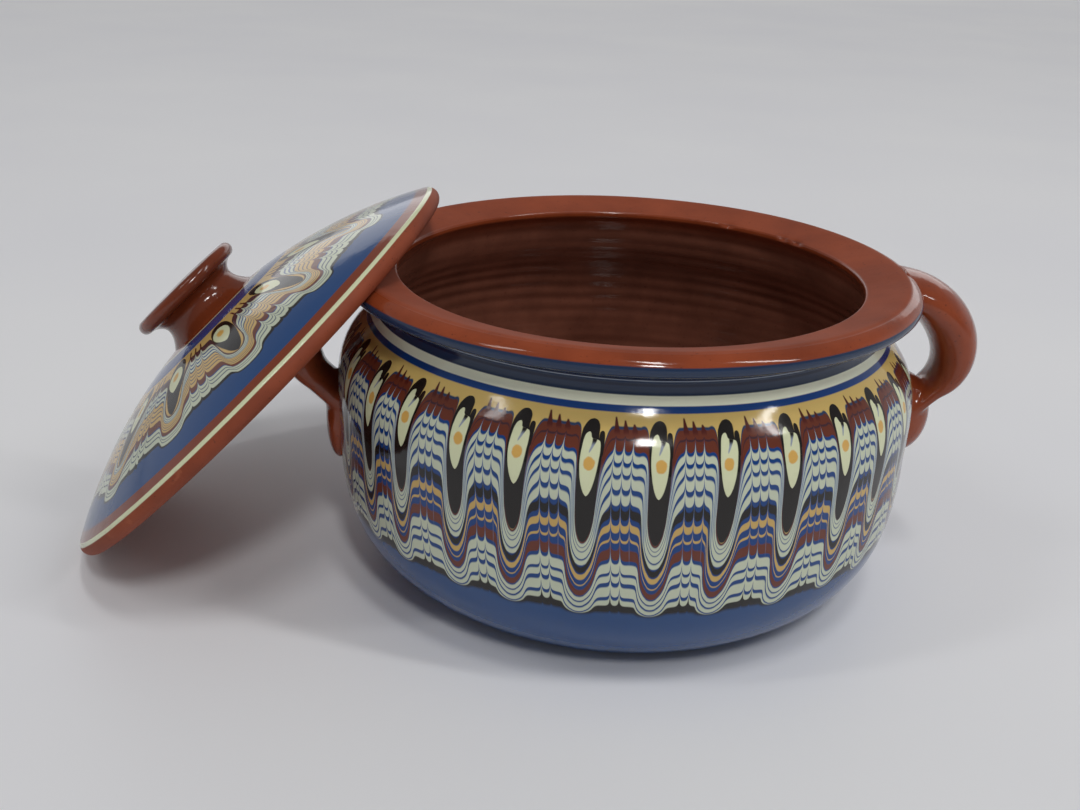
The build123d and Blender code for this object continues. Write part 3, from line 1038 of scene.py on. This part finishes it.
def along_strap(share, root, grip, end):
    """Smooth size along a strap, from its root (share 0) by the grip (0.5) to its end (1)."""
    at_root = root * (1 - share) * (1 - 2 * share)
    at_grip = grip * 4 * share * (1 - share)
    at_end = end * share * (2 * share - 1)
    return at_root + at_grip + at_end


def strap_rings(drop, pinch, sag, width, thickness):
    """Oval rings along the handle's strap on the +X side, from inside the rim to inside the belly's wall.

    A pinch draws the lower part of the loop in towards the wall, and a sag lowers the loop.
    """
    turns = np.linspace(0, 2 * np.pi, STRAP_SIDES, endpoint=False)
    rings = []
    for share in np.linspace(0, 1, STRAP_STEPS):
        angle = math.radians(LOOP_START + (LOOP_END - LOOP_START) * share)
        outward_way = np.array((math.cos(angle), 0, math.sin(angle)))
        reach = LOOP_RADIUS - pinch * share * share * (3 - 2 * share)
        low = LOOP_CENTRE[1] - drop - along_strap(share, *sag)
        middle = np.array((LOOP_CENTRE[0], 0, low)) + reach * outward_way
        half_thick = along_strap(share, *thickness) / 2
        half_wide = along_strap(share, *width) / 2
        across = np.outer(np.sin(turns) * half_wide, (0, 1, 0))
        rings.append(middle + np.outer(np.cos(turns) * half_thick, outward_way) + across)
    onward = np.array((math.sin(angle), 0, -math.cos(angle)))
    head = rings[0] + np.array((-STRAP_HEAD_RUN, 0, STRAP_HEAD_LIFT))
    foot = rings[-1] + STRAP_FOOT_RUN * onward
    return [head, *rings, foot]


def strap_mesh(name, rings):
    """Closed mesh of a strap from its rings."""
    sides = STRAP_SIDES
    verts = [tuple(p * MM) for ring in rings for p in ring]
    faces = ring_faces(len(rings), sides)
    faces.append(tuple(range(sides)))
    faces.append(tuple((len(rings) - 1) * sides + j for j in reversed(range(sides))))
    mesh = bpy.data.meshes.new(name)
    mesh.from_pydata(verts, [], faces)
    return mesh


def add_tail(mesh, height, axes):
    """Adds the pressed tail to a strap, as an oval ball with its middle on the belly."""
    shape = bmesh.new()
    shape.from_mesh(mesh)
    ball = Matrix.Translation((TAIL_MIDDLE[0] * MM, 0, height * MM))
    ball = ball @ Matrix.Diagonal((*(MM * half for half in axes), 1))
    bmesh.ops.create_uvsphere(shape, u_segments=TAIL_SIDES, v_segments=TAIL_RINGS, radius=1, matrix=ball)
    bmesh.ops.recalc_face_normals(shape, faces=shape.faces)
    shape.to_mesh(mesh)
    shape.free()


def melted(name, mesh):
    """One skin round everything in a mesh."""
    rough_piece = bpy.data.objects.new(name + "_rough", mesh)
    bpy.context.collection.objects.link(rough_piece)
    melt = rough_piece.modifiers.new("melt", "REMESH")
    melt.mode = "VOXEL"
    melt.voxel_size = HANDLE_GRAIN * MM
    view = bpy.context.evaluated_depsgraph_get()
    skin = bpy.data.meshes.new_from_object(rough_piece.evaluated_get(view))
    skin.name = name
    bpy.data.objects.remove(rough_piece)
    return skin


def fit_to_pot(skin, turn):
    """Smooths a handle's skin, keeps its ends inside the pot's wall and turns it to its side of the pot."""
    shape = bmesh.new()
    shape.from_mesh(skin)
    every_way = {"use_axis_x": True, "use_axis_y": True, "use_axis_z": True}
    for _ in range(HANDLE_SMOOTHING):
        bmesh.ops.smooth_vert(shape, verts=shape.verts, factor=HANDLE_SOFTNESS, **every_way)
    for vert in shape.verts:
        radius = math.hypot(vert.co.x, vert.co.y)
        if radius < HANDLE_ROOT * MM and vert.co.z < HANDLE_ROOT_TOP * MM:
            vert.co.x *= HANDLE_ROOT * MM / radius
            vert.co.y *= HANDLE_ROOT * MM / radius
        if radius < RIM_COVER_RADIUS * MM:
            vert.co.z = min(vert.co.z, RIM_COVER_TOP * MM)
    side = Matrix.Rotation(math.radians(turn), 3, "Z")
    bmesh.ops.rotate(shape, verts=shape.verts, cent=(0, 0, 0), matrix=side)
    shape.to_mesh(skin)
    shape.free()


def make_handle(name, turn, drop, pinch, sag, width, thickness, tail_rise, tail_axes):
    """Strap and pressed tail melted into one skin."""
    mesh = strap_mesh(name, strap_rings(drop, pinch, sag, width, thickness))
    add_tail(mesh, TAIL_MIDDLE[1] + tail_rise - drop, tail_axes)
    skin = melted(name, mesh)
    fit_to_pot(skin, turn)
    return new_piece(name, skin)


def make_camera():
    """Camera at the photograph's place."""
    forward = Vector((math.sin(PAN) * math.cos(TILT), math.cos(PAN) * math.cos(TILT), -math.sin(TILT)))
    right = Vector((math.cos(PAN), -math.sin(PAN), 0))
    down = forward.cross(right)
    right_rolled = math.cos(ROLL) * right + math.sin(ROLL) * down
    down_rolled = -math.sin(ROLL) * right + math.cos(ROLL) * down
    data = bpy.data.cameras.new("camera")
    data.sensor_width = SENSOR_WIDTH
    data.lens = SENSOR_WIDTH * FOCAL_PIXELS / PHOTO_WIDTH
    data.clip_start = NEAREST_SEEN
    camera = bpy.data.objects.new("camera", data)
    turn = Matrix((right_rolled, -down_rolled, -forward)).transposed()
    camera.matrix_world = Matrix.Translation(Vector(EYE)) @ turn.to_4x4()
    bpy.context.collection.objects.link(camera)
    bpy.context.scene.camera = camera


def area_light(name, place, target, size, power):
    """Soft rectangular lamp that looks at a target."""
    data = bpy.data.lights.new(name, "AREA")
    data.shape = "RECTANGLE"
    data.size, data.size_y = size
    data.energy = power
    lamp = bpy.data.objects.new(name, data)
    lamp.location = place
    lamp.rotation_euler = (Vector(target) - Vector(place)).to_track_quat("-Z", "Y").to_euler()
    bpy.context.collection.objects.link(lamp)


def make_floor():
    """Pale painted floor."""
    far = FLOOR_HALF
    corners = [(-far, -far, 0), (far, -far, 0), (far, far, 0), (-far, far, 0)]
    mesh = bpy.data.meshes.new("floor")
    mesh.from_pydata(corners, [], [(0, 1, 2, 3)])
    floor = bpy.data.objects.new("floor", mesh)
    bpy.context.collection.objects.link(floor)
    material, g, place = new_material("floor_paint")
    tone = g.ramp(g.noise(place, FLOOR_NOISE), *NOISE_RANGE, 0.0, 1.0)
    shader(material, g.mix(tone, FLOOR_SHADE, FLOOR_LIGHT), FLOOR_DULL)
    mesh.materials.append(material)


def make_surroundings():
    """Pale surroundings, brighter low down behind the pot, and soft lamps."""
    world = bpy.data.worlds.new("surroundings")
    bpy.context.scene.world = world
    bpy.context.scene.view_settings.view_transform = "Standard"
    world.use_nodes = True
    g = Graph(world.node_tree)
    way = g.fed("ShaderNodeSeparateXYZ", {0: g.add("ShaderNodeTexCoord").outputs["Generated"]})
    behind = g.ramp(way.outputs[1], *GLOW_BEHIND, 0.0, 1.0)
    low = g.ramp(way.outputs[2], *GLOW_HEIGHT, 1.0, 0.0)
    sky = world.node_tree.nodes["Background"]
    sky.inputs["Color"].default_value = SKY_COLOUR
    g.plug(sky.inputs["Strength"], g.plus(SKY_STRENGTH, g.times(g.times(behind, low), SKY_GLOW)))
    for lamp in LAMPS:
        area_light(*lamp)


def put(piece, material, body, slot_name, *nodes):
    """Dresses a piece, ties it to its body and hides the solids it stands for."""
    piece.data.materials.clear()
    piece.data.materials.append(material)
    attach(piece, body)
    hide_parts(*nodes)


def lean(piece, node_box):
    """Leans a piece of the lid as the solid leans, and returns the matrix that did it."""
    tilt = Matrix.Rotation(math.radians(-LID_LEAN), 4, "Y")
    turn = Matrix.Rotation(math.radians(LID_TURN), 4, "Z") @ tilt @ Matrix.Scale(LID_FIT, 4)
    piece.data.transform(turn)
    low = np.array([v.co for v in piece.data.vertices]).min(axis=0)
    shift = Matrix.Translation(Vector(node_box[0]) - Vector(low))
    piece.data.transform(shift)
    return shift @ turn


make_camera()
make_floor()
make_surroundings()
soft_stripe = stripe_group("stripe_soft", SOFT_DIP)
sharp_stripe = stripe_group("stripe_sharp", SHARP_DIP)

pot = lathe("pot_thrown", *pot_outline(), POT_AROUND, hand_thrown)
outward(pot)
put(pot, pot_material(soft_stripe, sharp_stripe), "pot", "slip_decorated_glaze", "pot_body")

lid = lathe("lid_thrown", *lid_outline(), LID_AROUND)
outward(lid)
leaning = lean(lid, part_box("lid"))
put(lid, lid_material(soft_stripe), "lid", "slip_decorated_glaze", "lid")

knob = lathe("lid_knob_thrown", *knob_outline(), KNOB_AROUND)
dome_middle = Matrix.Translation((0, 0, (LID_TOP - DOME_RADIUS) * MM))
knob_turn = Matrix.Rotation(KNOB_SHIFT / DOME_RADIUS, 4, "Y")
knob.data.transform(dome_middle @ knob_turn @ dome_middle.inverted())
knob.data.transform(leaning)
outward(knob)
glaze = clay_material("brown_glaze", LIGHT_CLAY, DARK_CLAY)
put(knob, clay_material("knob_glaze", KNOB_CLAY, KNOB_SHADE), "lid", "brown_glaze", "lid_knob")

left_handle = make_handle("left_handle_pulled", **LEFT_HANDLE)
put(left_handle, glaze, "pot", "brown_glaze", "left_handle")
right_handle = make_handle("right_handle_pulled", **RIGHT_HANDLE)
put(right_handle, glaze, "pot", "brown_glaze", "right_handle")
